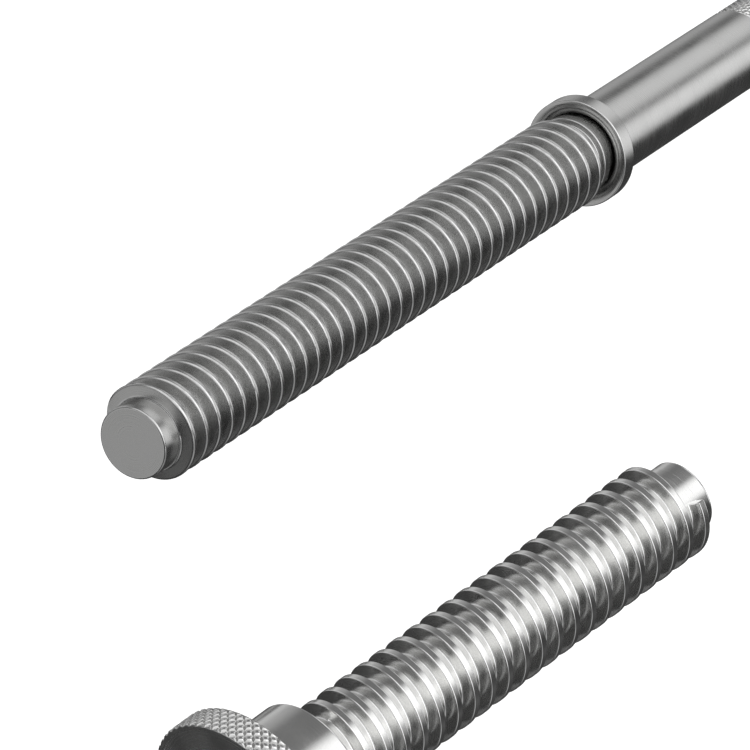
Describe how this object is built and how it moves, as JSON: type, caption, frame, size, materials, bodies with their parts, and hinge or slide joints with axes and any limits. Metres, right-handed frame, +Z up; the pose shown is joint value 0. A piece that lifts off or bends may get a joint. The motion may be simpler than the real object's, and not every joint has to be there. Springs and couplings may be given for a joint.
{
  "type": "ball screw assembly",
  "caption": "Two threaded spindles set side by side, one in a flanged bearing sleeve with a hand grip, one in a bearing hub with a knurled knob.",
  "frame": {"origin": "on the long screw's axis, in the plane of the face that the sleeve's flange seats with", "axes": "+X along the long screw, from the flange towards the hand grip; +Z up; the short screw lies at -Y, turned and raised a little"},
  "size_m": [0.3244, 0.1085, 0.049],
  "materials": {
    "long_screw_steel": "satin turned steel",
    "sleeve_steel": "satin ground steel",
    "seal_rubber": "matt",
    "bearing_steel": "ground",
    "cage_brass": "machined",
    "ball_steel": "polished",
    "spring_steel": "oiled",
    "fastener_steel": "blackened",
    "grip_steel": "knurled",
    "short_screw_steel": "polished turned steel",
    "hub_steel": "polished turned steel",
    "bush_bronze": "bored bronze",
    "knob_steel": "knurled"
  },
  "bodies": {
    "housings": {"bearing_sleeve": "sleeve_steel", "sleeve_seal": "seal_rubber", "front_bearing_outer_ring": "bearing_steel", "rear_bearing_outer_ring": "bearing_steel", "outer_spacer": "bearing_steel", "sleeve_circlip": "spring_steel", "bearing_hub": "hub_steel", "front_bush": "bush_bronze", "rear_bush": "bush_bronze"},
    "long_spindle": {"long_screw": "long_screw_steel", "front_bearing_inner_ring": "bearing_steel", "rear_bearing_inner_ring": "bearing_steel", "inner_spacer": "bearing_steel", "lock_washer": "fastener_steel", "lock_nut": "fastener_steel", "hand_grip": "grip_steel", "grip_set_screws": "fastener_steel", "grip_end_washer": "fastener_steel", "grip_end_screw": "fastener_steel"},
    "front_ball_set": {"front_bearing_cage": "cage_brass", "front_bearing_balls": "ball_steel"},
    "rear_ball_set": {"rear_bearing_cage": "cage_brass", "rear_bearing_balls": "ball_steel"},
    "short_spindle": {"short_screw": "short_screw_steel", "front_thrust_washer": "bearing_steel", "rear_thrust_washer": "bearing_steel", "knob": "knob_steel", "knob_key": "fastener_steel", "knob_end_washer": "fastener_steel", "knob_end_screw": "fastener_steel"}
  },
  "joints": [
    {"name": "long_spin", "type": "hinge", "parent": "housings", "child": "long_spindle", "pos_m": [0, 0, 0], "axis": [1, 0, 0], "continuous": true},
    {"name": "front_ball_spin", "type": "hinge", "parent": "housings", "child": "front_ball_set", "pos_m": [0, 0, 0], "axis": [1, 0, 0], "continuous": true},
    {"name": "rear_ball_spin", "type": "hinge", "parent": "housings", "child": "rear_ball_set", "pos_m": [0, 0, 0], "axis": [1, 0, 0], "continuous": true},
    {"name": "short_spin", "type": "hinge", "parent": "housings", "child": "short_spindle", "pos_m": [-0.21212, -0.07038, -0.01731], "axis": [0.9537, -0.2212, 0.204], "continuous": true}
  ],
  "couplings": [
    {"joint": "front_ball_spin", "follows": "long_spin", "ratio": 0.44},
    {"joint": "rear_ball_spin", "follows": "long_spin", "ratio": 0.44}
  ]
}
